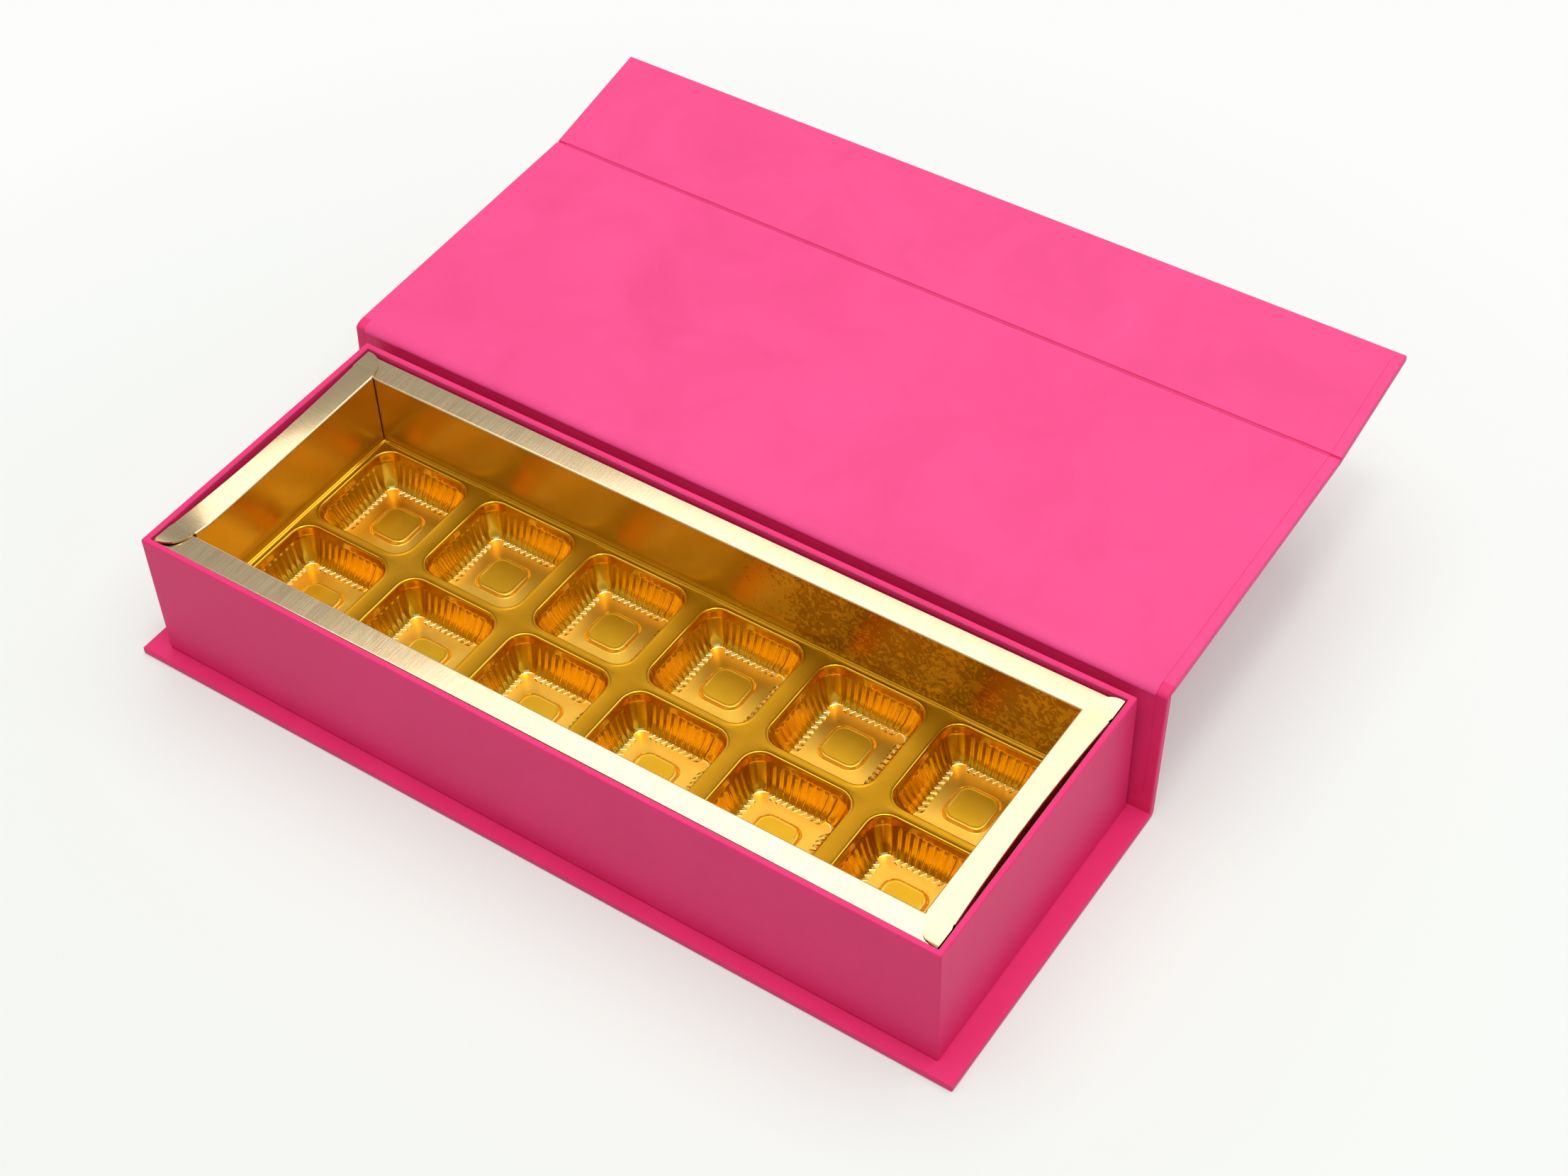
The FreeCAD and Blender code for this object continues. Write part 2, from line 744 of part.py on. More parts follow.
document.recompute()
for item in document.Objects:
    if {"Invalid", "Error"} & set(item.State):
        raise RuntimeError(f"{item.Name} failed: {item.State}")
os.makedirs("parts", exist_ok=True)
for subpart in SUBPARTS:
    shape = subpart.Shape
    if shape.isNull() or not shape.isValid():
        raise RuntimeError(f"{subpart.Label} has no valid shape")
    shape.exportStep(f"parts/{subpart.Label}.step")
    print(f"{subpart.Label}: {len(shape.Solids)} solids, {shape.Volume:.1f} cubic mm")
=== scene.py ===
"""A pink book-style chocolate box, standing open on a pale table in soft studio light.

The box is put together from the table up: the case's base, the tray on it, the gold card frame and
the moulded insert in the tray, and behind it the spine, the lid and its front flap. Metres, in the
frame of the CAD model.
"""

import json
import math

import bmesh
import bpy
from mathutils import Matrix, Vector


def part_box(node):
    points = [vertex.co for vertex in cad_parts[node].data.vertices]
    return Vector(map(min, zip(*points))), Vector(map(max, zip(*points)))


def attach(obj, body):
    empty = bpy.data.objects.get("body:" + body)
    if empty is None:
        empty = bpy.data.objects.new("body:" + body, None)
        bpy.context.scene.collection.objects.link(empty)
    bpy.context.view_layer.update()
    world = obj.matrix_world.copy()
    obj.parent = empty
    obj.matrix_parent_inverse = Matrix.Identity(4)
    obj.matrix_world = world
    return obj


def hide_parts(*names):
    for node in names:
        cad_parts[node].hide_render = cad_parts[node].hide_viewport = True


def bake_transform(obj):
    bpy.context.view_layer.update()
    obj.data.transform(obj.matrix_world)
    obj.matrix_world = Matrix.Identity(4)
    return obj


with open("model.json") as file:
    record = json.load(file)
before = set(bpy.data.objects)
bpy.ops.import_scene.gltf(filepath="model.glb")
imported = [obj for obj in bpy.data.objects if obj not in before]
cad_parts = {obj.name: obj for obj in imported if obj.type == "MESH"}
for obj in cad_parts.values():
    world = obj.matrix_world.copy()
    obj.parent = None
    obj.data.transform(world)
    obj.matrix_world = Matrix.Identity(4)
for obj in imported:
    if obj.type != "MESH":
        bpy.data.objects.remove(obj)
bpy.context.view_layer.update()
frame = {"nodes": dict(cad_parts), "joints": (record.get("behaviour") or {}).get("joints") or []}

# --- Camera -----------------------------------------------------------------------------------
# A short telephoto lens above the box's front right corner, as in the photograph.

camera_data = bpy.data.cameras.new("camera")
camera_data.sensor_width = 36.0
camera_data.lens = 61.162
camera_data.clip_start = 0.01
camera = bpy.data.objects.new("camera", camera_data)
camera.rotation_mode = "QUATERNION"
camera.rotation_quaternion = (0.89036, 0.35000, 0.11840, 0.26596)
camera.location = (0.29223, -0.34281, 0.52622)
bpy.context.scene.collection.objects.link(camera)
bpy.context.scene.camera = camera

# --- Table and light --------------------------------------------------------------------------
# A white sweep of paper under the box, with a wide softbox above and behind it and a small key lamp
# over it. The room is pale near the table and dim overhead, and the paper looks pale in low light.

bpy.context.scene.view_settings.view_transform = "Standard"


def feed(tree, node, inputs):
    """Give a shader node its inputs: each is a value, or is linked where an output is given."""
    for name, value in inputs.items():
        if isinstance(value, bpy.types.NodeSocket):
            tree.links.new(value, node.inputs[name])
        else:
            node.inputs[name].default_value = value


def add_node(tree, kind, inputs, take=None, **settings):
    """Add a shader node, and give back the output that take names, or else the first in use."""
    node = tree.nodes.new("ShaderNode" + kind)
    for setting, value in settings.items():
        setattr(node, setting, value)
    feed(tree, node, inputs)
    return node.outputs[take] if take else next(output for output in node.outputs if output.enabled)


def shades(tree, share, first, last):
    """Colours over a pattern's shares, from one stop to another: each is a place and a colour."""
    ramp = tree.nodes.new("ShaderNodeValToRGB")
    for element, (position, colour) in zip(ramp.color_ramp.elements, (first, last)):
        element.position = position
        element.color = (*colour, 1)
    tree.links.new(share, ramp.inputs["Fac"])
    return ramp.outputs["Color"]


def seen_directly(tree):
    """One where a ray comes straight from the camera, or by a shiny or clear surface."""
    path = tree.nodes.new("ShaderNodeLightPath")
    shiny = add_node(
        tree, "Math", {0: path.outputs["Is Glossy Ray"], 1: path.outputs["Is Transmission Ray"]},
        operation="MAXIMUM",
    )
    return add_node(tree, "Math", {0: path.outputs["Is Camera Ray"], 1: shiny}, operation="MAXIMUM")


def surface(tree, output, bounced, seen):
    """Light the scene with one shader, and show another where the surface is seen directly."""
    choice = add_node(tree, "MixShader", {"Fac": seen_directly(tree), 1: bounced, 2: seen})
    feed(tree, tree.nodes[output], {"Surface": choice})


bpy.ops.object.select_all(action="DESELECT")
bpy.ops.mesh.primitive_plane_add(size=8)
table = bpy.context.object
table.name = "table"
table_paper = bpy.data.materials.new("table_paper")
table_paper.use_nodes = True
tree = table_paper.node_tree
tree.nodes.remove(tree.nodes["Principled BSDF"])
bounce = add_node(tree, "BsdfDiffuse", {"Color": (0.78, 0.78, 0.77, 1)})
shaded = add_node(tree, "BsdfDiffuse", {"Color": (0.77, 0.805, 0.76, 1)})
glow = add_node(tree, "Emission", {"Color": (0.975, 0.975, 0.968, 1)})
place = add_node(tree, "TexCoord", {}, take="Object")
distance = add_node(tree, "VectorMath", {0: place}, operation="LENGTH")
sweep = add_node(
    tree, "MapRange",
    {"Value": distance, "From Min": 0.18, "From Max": 0.32, "To Min": 0.30, "To Max": 1.0},
)
pale = add_node(tree, "MixShader", {"Fac": sweep, 1: shaded, 2: glow})
surface(tree, "Material Output", bounce, pale)
table.data.materials.append(table_paper)

room = bpy.data.worlds.new("room")
room.use_nodes = True
tree = room.node_tree
fill = tree.nodes["Background"]
feed(tree, fill, {"Color": (1.0, 1.0, 1.0, 1), "Strength": 0.40})
direction = add_node(tree, "TexCoord", {}, take="Generated")
height = add_node(tree, "SeparateXYZ", {"Vector": direction}, take="Z")
paling = shades(tree, height, (0.25, (0.975, 0.975, 0.96)), (0.62, (0.36, 0.36, 0.36)))
walls = add_node(tree, "Background", {"Color": paling})
surface(tree, "World Output", fill.outputs["Background"], walls)
bpy.context.scene.world = room


def area_lamp(name, place, size, energy, aim):
    """An oblong lamp that faces a point."""
    lamp_data = bpy.data.lights.new(name, "AREA")
    lamp_data.shape = "RECTANGLE"
    lamp_data.size, lamp_data.size_y = size
    lamp_data.energy = energy
    lamp = bpy.data.objects.new(name, lamp_data)
    lamp.location = place
    lamp.rotation_mode = "QUATERNION"
    lamp.rotation_quaternion = (Vector(aim) - lamp.location).to_track_quat("-Z", "Y")
    bpy.context.scene.collection.objects.link(lamp)


area_lamp("softbox", (0.04, 0.30, 1.35), (1.89, 1.66), 17.5, aim=(0.04, 0.30, 0))
area_lamp("key", (0.20, -0.08, 1.45), (0.25, 0.25), 4.2, aim=(0, 0, 0.04))

# --- Base of the case -------------------------------------------------------------------------
# A greyboard panel in pink laminated paper. The paper is turned in on three edges, and mitred at
# the front corners; at the back it runs on across the fold. The tray is glued on top.

HAIR = 0.00001
paper = 0.00015
board = 0.0020
wrapped = board + 2 * paper
edge_round = 0.0005
turn_in = 0.015
base_ledge = 0.0069


def pick(piece):
    """Select one piece, and nothing else, and make it active."""
    bpy.ops.object.select_all(action="DESELECT")
    piece.select_set(True)
    bpy.context.view_layer.objects.active = piece


def settle(piece):
    """Put a piece's place, turn and scale into its mesh."""
    pick(piece)
    bpy.ops.object.transform_apply(location=True, rotation=True, scale=True)


def rename(piece, name):
    piece.name = name
    piece.data.name = name


def modify(piece, kind, **settings):
    """Add one modifier to a piece and apply it."""
    change = piece.modifiers.new(kind, kind)
    for setting, value in settings.items():
        setattr(change, setting, value)
    pick(piece)
    bpy.ops.object.modifier_apply(modifier=change.name)


def block(name, low, high):
    """A plain block between two corners, as the start of a piece."""
    bpy.ops.object.select_all(action="DESELECT")
    bpy.ops.mesh.primitive_cube_add(size=1)
    piece = bpy.context.object
    rename(piece, name)
    piece.location = [(a + b) / 2 for a, b in zip(low, high)]
    piece.scale = [b - a for a, b in zip(low, high)]
    settle(piece)
    return piece


def edit(piece, kind):
    """Edit one piece's corners, edges or faces, with none of them selected."""
    pick(piece)
    bpy.ops.object.mode_set(mode="EDIT")
    bpy.ops.mesh.select_mode(type=kind)
    bpy.ops.mesh.select_all(action="DESELECT")


def choose(piece, test):
    """Select the corners, edges or faces being edited that pass a test of their middle."""
    bpy.ops.mesh.select_all(action="DESELECT")
    mesh = bmesh.from_edit_mesh(piece.data)
    corners, edges, _ = bpy.context.tool_settings.mesh_select_mode
    for part in list(mesh.verts if corners else mesh.edges if edges else mesh.faces):
        points = [part.co] if corners else [corner.co for corner in part.verts]
        if test(sum(points, Vector()) / len(points), part):
            part.select_set(True)
    bmesh.update_edit_mesh(piece.data)


def lower(depth):
    """Move down what is selected."""
    bpy.ops.transform.translate(value=(0, 0, -depth))


def pull(x=0.0, y=0.0, z=0.0):
    """Extrude what is selected."""
    bpy.ops.mesh.extrude_region_move(TRANSFORM_OT_translate={"value": (x, y, z)})


def round_edges(offset, segments):
    bpy.ops.mesh.bevel(offset=offset, segments=segments, affect="EDGES")


def cut(point, normal):
    """Cut everything being edited along a plane."""
    bpy.ops.mesh.select_all(action="SELECT")
    bpy.ops.mesh.bisect(plane_co=point, plane_no=normal)


def face_outwards():
    """Turn every face being edited to the outside."""
    bpy.ops.mesh.select_all(action="SELECT")
    bpy.ops.mesh.normals_make_consistent(inside=False)


def finish_edit():
    bpy.ops.object.mode_set(mode="OBJECT")


def wrapped_board(name, half, near, far, low, thick, turned_near=False, turned_far=False, rounded=True):
    """A board in its paper, lying flat: round where the paper is turned in, square at a fold."""
    piece = block(name, (-half, near, low), (half, far, low + thick))
    edit(piece, "EDGE")

    def turned(middle, edge):
        if abs(middle.y - near) < HAIR:
            return turned_near
        if abs(middle.y - far) < HAIR:
            return turned_far
        return True

    if rounded:
        choose(piece, turned)
        round_edges(edge_round, 4)
    finish_edit()
    return piece


def sink(piece, half, near, far, low, depth):
    """Lower the top inside an oblong: the step at the edge of a turned-in paper or a liner."""
    slope = 0.0002
    edit(piece, "VERT")
    for inset in (0.0, slope):
        for side in (-1, 1):
            cut((side * (half - inset), 0, 0), (1, 0, 0))
        for reach, sign in ((near, 1), (far, -1)):
            if reach is not None:
                cut((0, reach + sign * inset, 0), (0, 1, 0))

    def inside(middle, corner):
        return (
            abs(middle.x) < half - slope / 2
            and middle.z > low
            and (near is None or middle.y > near + slope / 2)
            and (far is None or middle.y < far - slope / 2)
        )

    choose(piece, inside)
    lower(depth)
    finish_edit()


def mitre(piece, corner, inward, size, depth=0.00009, width=0.00024):
    """A fine open seam where two turned-in edges meet at a corner, running inwards from it."""
    just_under = 0.0006
    start, step = Vector(corner), Vector(inward).normalized()
    across = Vector((step.y, -step.x, 0))
    edit(piece, "VERT")
    for shift in (-width / 2, 0, width / 2):
        cut(start + across * shift, across)
    choose(
        piece,
        lambda middle, _: abs((middle - start).dot(across)) < HAIR
        and middle.z > corner[2] - just_under
        and abs(middle.x - corner[0]) < size
        and abs(middle.y - corner[1]) < size,
    )
    lower(depth)
    finish_edit()


def new_finish(name):
    """A new material: its node tree, its shader, and the coordinates of the piece that has it."""
    material = bpy.data.materials.new(name)
    material.use_nodes = True
    tree = material.node_tree
    return material, tree, tree.nodes["Principled BSDF"], add_node(tree, "TexCoord", {}, take="Object")


def laminated_paper(name, colour):
    """Matt laminated paper: a fine tooth, a few slurs and specks, and soft clouds of colour."""
    material, tree, shader, place = new_finish(name)
    cloud = add_node(
        tree, "TexNoise",
        {"Vector": place, "Scale": 34.0, "Detail": 6.0, "Roughness": 0.62, "Distortion": 0.6},
    )
    deep = [tone * share for tone, share in zip(colour, (0.945, 0.90, 0.92))]
    light = [tone * share for tone, share in zip(colour, (1.03, 1.12, 1.08))]
    gloss = add_node(tree, "MapRange", {"Value": cloud, "To Min": 0.37, "To Max": 0.48})
    tooth = add_node(tree, "TexNoise", {"Vector": place, "Scale": 1400.0, "Detail": 3.0})
    fibre = add_node(
        tree, "TexNoise", {"Vector": place, "Scale": 240.0, "Detail": 4.0, "Distortion": 1.5}
    )
    relief = add_node(tree, "Math", {0: fibre, 1: 0.7, 2: tooth}, operation="MULTIPLY_ADD")
    fine = add_node(tree, "Bump", {"Strength": 0.12, "Distance": 0.00008, "Height": relief})
    swell = add_node(tree, "TexNoise", {"Vector": place, "Scale": 22.0, "Detail": 2.0})
    broad = add_node(
        tree, "Bump", {"Strength": 0.35, "Distance": 0.0006, "Height": swell, "Normal": fine}
    )
    feed(tree, shader, {
        "Specular IOR Level": 0.14,
        "Base Color": shades(tree, cloud, (0.28, deep), (0.72, light)),
        "Roughness": gloss,
        "Normal": broad,
    })
    return material


cover_paper = laminated_paper("cover_paper", (0.80, 0.036, 0.175))


def dress(piece, material, slot, *nodes, body=None, smooth=38):
    """Finish a piece: its material, its smooth shading, the body it rides on, and its CAD nodes."""
    marks = [face.material_index for face in piece.data.polygons]
    piece.data.materials.clear()
    piece.data.materials.append(material)
    piece.data.polygons.foreach_set("material_index", marks)
    pick(piece)
    bpy.ops.object.shade_smooth_by_angle(angle=math.radians(smooth))
    modify(piece, "WEIGHTED_NORMAL", keep_sharp=True)
    if body:
        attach(piece, body)
    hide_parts(*nodes)


low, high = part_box("base_cover")
base = wrapped_board("case_base_paper", high.x, low.y, high.y, 0.0, wrapped, turned_near=True)
sink(base, high.x - turn_in, low.y + turn_in, None, wrapped / 2, paper)
edit(base, "FACE")
for side in (-1, 1):
    cut((side * (high.x - base_ledge), 0, 0), (1, 0, 0))
cut((0, low.y + base_ledge, 0), (0, 1, 0))
finish_edit()
for side in (-1, 1):
    mitre(base, (side * high.x, low.y, wrapped), (-side, 1, 0), base_ledge)
dress(base, cover_paper, "cover_paper", "base_cover", body="tray")

# --- Tray -------------------------------------------------------------------------------------
# Five boards wrapped in one sheet of the same paper. It goes up the walls, round their top edges
# and down inside, mitred at the corners, and is turned under the floor at the foot.

tray_low, tray_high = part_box("tray_wrap")
tray_wall = 0.0018
tray_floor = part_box("tray_floor_board")[1].z - 0.00005
tray = block("tray_paper", tray_low, tray_high)
edit(tray, "FACE")
choose(tray, lambda middle, face: face.normal.z > 0.9)
bpy.ops.mesh.inset(thickness=tray_wall, depth=0)
pull(z=tray_floor - tray_high.z)
bpy.ops.mesh.select_mode(type="EDGE")


def turned_over(middle, edge):
    """The tray's outer edges and the ones round its mouth, but not the lines across its corners."""
    span = edge.verts[0].co - edge.verts[1].co
    outside = abs(middle.x) > tray_high.x - HAIR or abs(middle.y) > tray_high.y - HAIR
    return outside or middle.z > tray_high.z - HAIR and min(abs(span.x), abs(span.y)) < HAIR


choose(tray, turned_over)
round_edges(edge_round, 4)
finish_edit()
for side_x in (-1, 1):
    for side_y in (-1, 1):
        # The paper is doubled here, so the mitre stands up as a low ridge.
        mitre(
            tray, (side_x * tray_high.x, side_y * tray_high.y, tray_high.z), (-side_x, -side_y, 0),
            size=0.0030, depth=-0.00006, width=0.0005,
        )
dress(tray, cover_paper, "cover_paper", "tray_wrap", body="tray")

# --- Boards, tape and steel inside the papers -------------------------------------------------
# Grey millboard with the flecks of what it was pulped from, brown gummed tape at the tray's
# corners, and small plated discs of the magnetic catch.


def multiply(tree, one, other):
    """One colour stained with another."""
    return add_node(
        tree, "Mix", {"Factor": 1.0, "A": one, "B": other}, data_type="RGBA", blend_type="MULTIPLY"
    )


def greyboard_finish():
    material, tree, shader, place = new_finish("greyboard")
    pulp = add_node(tree, "TexNoise", {"Vector": place, "Scale": 320.0, "Detail": 8.0})
    grain = add_node(tree, "TexVoronoi", {"Vector": place, "Scale": 420.0}, take="Distance")
    grey = shades(tree, pulp, (0.35, (0.20, 0.185, 0.165)), (0.70, (0.33, 0.315, 0.29)))
    flecks = shades(tree, grain, (0.04, (0.35, 0.33, 0.32)), (0.12, (1, 1, 1)))
    bump = add_node(tree, "Bump", {"Strength": 0.3, "Distance": 0.0001, "Height": pulp})
    feed(tree, shader, {
        "Base Color": multiply(tree, grey, flecks),
        "Roughness": 0.92,
        "Specular IOR Level": 0.2,
        "Normal": bump,
    })
    return material


def streaked_finish(name, dark, light, scale, roughness, metallic=0.0):
    """A plain finish with fine streaks: the fibres of tape, or the lapping of plated steel."""
    material, tree, shader, place = new_finish(name)
    stretched = add_node(tree, "Mapping", {"Vector": place, "Scale": scale})
    streak = add_node(tree, "TexNoise", {"Vector": stretched, "Scale": 1.0, "Detail": 5.0})
    bump = add_node(tree, "Bump", {"Strength": 0.15, "Distance": 0.00005, "Height": streak})
    feed(tree, shader, {
        "Base Color": shades(tree, streak, (0.3, dark), (0.7, light)),
        "Metallic": metallic,
        "Roughness": roughness,
        "Normal": bump,
    })
    return material


greyboard = greyboard_finish()
kraft_tape = streaked_finish("kraft_tape", (0.30, 0.19, 0.10), (0.42, 0.28, 0.16), (300, 300, 1500), 0.7)
plated_steel = streaked_finish(
    "plated_steel", (0.52, 0.52, 0.53), (0.68, 0.68, 0.69), (900, 80, 900), 0.3, metallic=1.0
)


def repaint(material, *nodes):
    """Give CAD nodes that stay as they are a finish of their own."""
    for name in nodes:
        data = frame["nodes"][name].data
        data.materials.clear()
        data.materials.append(material)


repaint(
    greyboard, "base_board", "tray_floor_board", "tray_front_board", "tray_back_board",
    "tray_left_board", "tray_right_board", "spine_board", "lid_board", "flap_board",
)
repaint(plated_steel, "front_wall_keepers", "flap_magnets")

tape_leg = 0.014
tape_thick = 0.0001


def flat_sheet(name, place, width, depth, tilt=0):
    """A plain oblong sheet, lying flat or tilted about X, as the start of a piece."""
    bpy.ops.object.select_all(action="DESELECT")
    bpy.ops.mesh.primitive_plane_add(size=1)
    piece = bpy.context.object
    rename(piece, name)
    piece.location = place
    piece.rotation_euler.x = math.radians(tilt)
    piece.scale = (width, depth, 1)
    settle(piece)
    return piece


def corner_tape(low, high):
    """One length of tape folded round the front right corner, its fold slightly rounded."""
    tape = flat_sheet(
        "corner_tapes", (high.x - tape_leg / 2, low.y, (low.z + high.z) / 2), tape_leg, high.z - low.z,
        tilt=90,
    )
    edit(tape, "EDGE")
    choose(tape, lambda middle, edge: abs(middle.x - high.x) < HAIR)
    pull(y=tape_leg)
    choose(tape, lambda middle, edge: abs(middle.x - high.x) < HAIR and abs(middle.y - low.y) < HAIR)
    round_edges(0.0006, 3)
    finish_edit()
    modify(tape, "SOLIDIFY", thickness=tape_thick, offset=-1)
    return tape


def join(pieces):
    """Make one piece of several; it keeps the first one's name."""
    pick(pieces[0])
    for piece in pieces:
        piece.select_set(True)
    bpy.ops.object.join()


tapes = []
for side_x, side_y in ((1, -1), (-1, -1), (-1, 1), (1, 1)):
    tape = corner_tape(*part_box("corner_stays"))
    tape.scale = (side_x, -side_y, 1)
    settle(tape)
    edit(tape, "FACE")
    face_outwards()
    finish_edit()
    tapes.append(tape)
join(tapes)
dress(tapes[0], kraft_tape, "kraft_tape", "corner_stays", body="tray")

# --- Gold card frame --------------------------------------------------------------------------
# Metallised card with a brushed look, creased into four channels that stand in the tray. The two
# short ones lap over the long ones with rounded tabs.


def gold_card(name, dark, light, grain):
    """Brushed champagne-gold card; grain is how the brush marks are stretched along X, Y and Z."""
    material, tree, shader, place = new_finish(name)
    stretched = add_node(tree, "Mapping", {"Vector": place, "Scale": grain})
    brush = add_node(
        tree, "TexNoise", {"Vector": stretched, "Scale": 1.0, "Detail": 4.0, "Roughness": 0.65}
    )
    fine = add_node(tree, "Bump", {"Strength": 0.14, "Distance": 0.00005, "Height": brush})
    sway = add_node(tree, "TexNoise", {"Vector": place, "Scale": 26.0, "Detail": 3.0, "Distortion": 0.8})
    broad = add_node(
        tree, "Bump", {"Strength": 0.20, "Distance": 0.0006, "Height": sway, "Normal": fine}
    )
    feed(tree, shader, {
        "Base Color": shades(tree, brush, (0.25, dark), (0.75, light)),
        "Metallic": 1.0,
        "Roughness": add_node(tree, "MapRange", {"Value": brush, "To Min": 0.13, "To Max": 0.22}),
        "Coat Weight": 1.0,
        "Coat IOR": 1.7,
        "Coat Roughness": 0.06,
        "Normal": broad,
    })
    return material


def bright_card():
    """The card's upright faces, below the brushed rims: unbrushed gold, a little clouded, deeper than the
    rims', partly the card's own and partly a painted reflection of the gold insert.
    """
    material, tree, shader, place = new_finish("gold_card_foil_painted_reflection")
    cloud = add_node(
        tree, "TexNoise", {"Vector": place, "Scale": 60.0, "Detail": 3.0, "Distortion": 0.8}
    )
    # A deeper gold than the rims': partly the card's own, partly a painted reflection of the gold insert.
    foil = shades(tree, cloud, (0.30, (0.76, 0.52, 0.10)), (0.70, (0.82, 0.575, 0.12)))
    # A fine dark brown mottle over the foil, stronger towards +X.
    fine_mottle = add_node(
        tree, "TexNoise",
        {"Vector": place, "Scale": 330.0, "Detail": 6.0, "Roughness": 0.7, "Distortion": 2.2},
    )
    patch = add_node(tree, "TexNoise", {"Vector": place, "Scale": 62.0, "Detail": 3.0})
    along = add_node(tree, "SeparateXYZ", {"Vector": place}, take="X")
    side = add_node(
        tree, "MapRange", {"Value": along, "From Min": -0.005, "From Max": 0.030, "To Max": 0.31}
    )
    spread = add_node(tree, "Math", {0: patch, 1: 0.38, 2: side}, operation="MULTIPLY_ADD")
    depth = add_node(tree, "Math", {0: fine_mottle, 1: spread}, operation="ADD")
    mottle_tone = shades(tree, depth, (0.98, (1, 1, 1)), (1.0, (0.62, 0.52, 0.30)))
    sway = add_node(tree, "TexNoise", {"Vector": place, "Scale": 20.0, "Detail": 2.0})
    feed(tree, shader, {
        "Base Color": multiply(tree, foil, mottle_tone),
        "Metallic": 1.0,
        "Roughness": add_node(tree, "MapRange", {"Value": cloud, "To Min": 0.28, "To Max": 0.34}),
        "Normal": add_node(tree, "Bump", {"Strength": 0.12, "Distance": 0.0006, "Height": sway}),
    })
    return material


card = 0.0005
flange_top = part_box("blister_tray")[1].z
card_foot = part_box("frame_front")[0].z
long_low, long_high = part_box("frame_front")
short_low, short_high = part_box("frame_right")


def channel(name, half, inner, outer, top, tab=0.0, lifts=(0.0, 0.0), bow=0.0, lean=0.0):
    """One strip of the frame along X at the front: inner wall, rim and outer wall, of one card."""
    tab_tip, tab_setback, tab_play = 0.0016, 0.0005, 0.0001
    piece = flat_sheet(name, (0, -(inner + outer) / 2, top), 2 * half, outer - inner)
    edit(piece, "EDGE")
    for across, foot in ((inner, flange_top), (outer, card_foot)):
        choose(piece, lambda middle, edge: abs(middle.y + across) < HAIR and abs(middle.z - top) < HAIR)
        pull(z=foot - top)
    choose(
        piece,
        lambda middle, edge: abs(middle.z - top) < HAIR
        and (abs(middle.y + inner) < HAIR or abs(middle.y + outer) < HAIR),
    )
    round_edges(edge_round, 3)
    tab_shares = [math.sin(math.pi / 2 * step / 8) for step in range(9)] if tab else []
    for side in (-1, 1):
        choose(
            piece,
            lambda middle, edge: abs(middle.x - side * half) < HAIR
            and abs(middle.z - top) < HAIR
            and abs(edge.verts[0].co.y - edge.verts[1].co.y) > 0.004,
        )
        for last, share in zip(tab_shares, tab_shares[1:]):
            pull(x=side * tab * (share - last))
    for share in (-0.85, -0.65, -0.4, -0.15, 0.15, 0.4, 0.65, 0.85):
        cut((share * half, 0, 0), (1, 0, 0))
    finish_edit()
    for corner in piece.data.vertices:
        outwards = max(0.0, min(1.0, (-corner.co.y - inner) / (outer - inner)))
        past = (abs(corner.co.x) - half) / tab if tab else 0.0
        if past > HAIR:
            # A tab is a quarter of an oval: it narrows from the opening's corner to its outer tip.
            hollow = (outer - inner - tab_tip) * (1 - math.sqrt(max(0.0, 1 - past**2)))
            inner_edge, outer_edge = inner + tab_setback + hollow, outer - tab_play
            corner.co.y = -(inner_edge if outwards < 0.5 else outer_edge)
            corner.co.z += lifts[corner.co.x > 0] * past**2 * (1.0 if outwards < 0.5 else 0.4)
            continue
        # The outer wall bows in at its middle, and the rim may lean towards the opening.
        middle = max(0.0, 1 - (corner.co.x / half) ** 2)
        corner.co.y += bow * middle * outwards
        if corner.co.z > top - 0.001:
            corner.co.z -= lean * (1 - outwards) * middle**0.3 * (1 + corner.co.x / half) / 2
    modify(piece, "SOLIDIFY", thickness=card, offset=-1)
    modify(
        piece, "BEVEL", width=0.00008, segments=1, limit_method="ANGLE", angle_limit=math.radians(60)
    )
    return piece


def set_strip(strip, degrees, brushed, node):
    """Turn a finished strip to its side of the box; its upright faces take the foil's finish, with its
    painted reflection.
    """
    foil_top = short_high.z - 0.0016
    for face in strip.data.polygons:
        face.material_index = int(abs(face.normal.z) < 0.3 and face.center.z < foil_top)
    strip.rotation_euler.z = math.radians(degrees)
    settle(strip)
    dress(strip, brushed, "gold_card", node, body="tray")
    strip.data.materials.append(card_foil_painted_reflection)


card_foil_painted_reflection = bright_card()
# The same card on all four sides, its brush marks turned with each side. The short sides' copy is a shade
# darker than the long sides': painted shade.
card_across = gold_card("gold_card_long_sides", (0.76, 0.55, 0.27), (0.90, 0.70, 0.43), (2400.0, 70.0, 70.0))
card_along = gold_card("gold_card_short_sides_painted_shade", (0.70, 0.51, 0.25), (0.82, 0.63, 0.36), (70.0, 2400.0, 70.0))
inner_x, inner_y = short_low.x, -long_high.y

for name, node, degrees in (
    ("card_strip_front", "frame_front", 0),
    ("card_strip_back", "frame_back", 180),
):
    strip = channel(name, long_high.x, inner_y, -long_low.y, long_high.z, bow=0.0003)
    set_strip(strip, degrees, card_across, node)
for name, node, degrees, lifts, lean in (
    ("card_strip_left", "frame_left", -90, (0.0002, 0.0007), 0.0012),
    ("card_strip_right", "frame_right", 90, (0.0003, 0.0002), 0.0),
):
    strip = channel(
        name, inner_y - 0.0003, inner_x, short_high.x, short_high.z,
        tab=short_high.y - inner_y + 0.0003, lifts=lifts, bow=0.0011, lean=lean,
    )
    set_strip(strip, degrees, card_along, node)

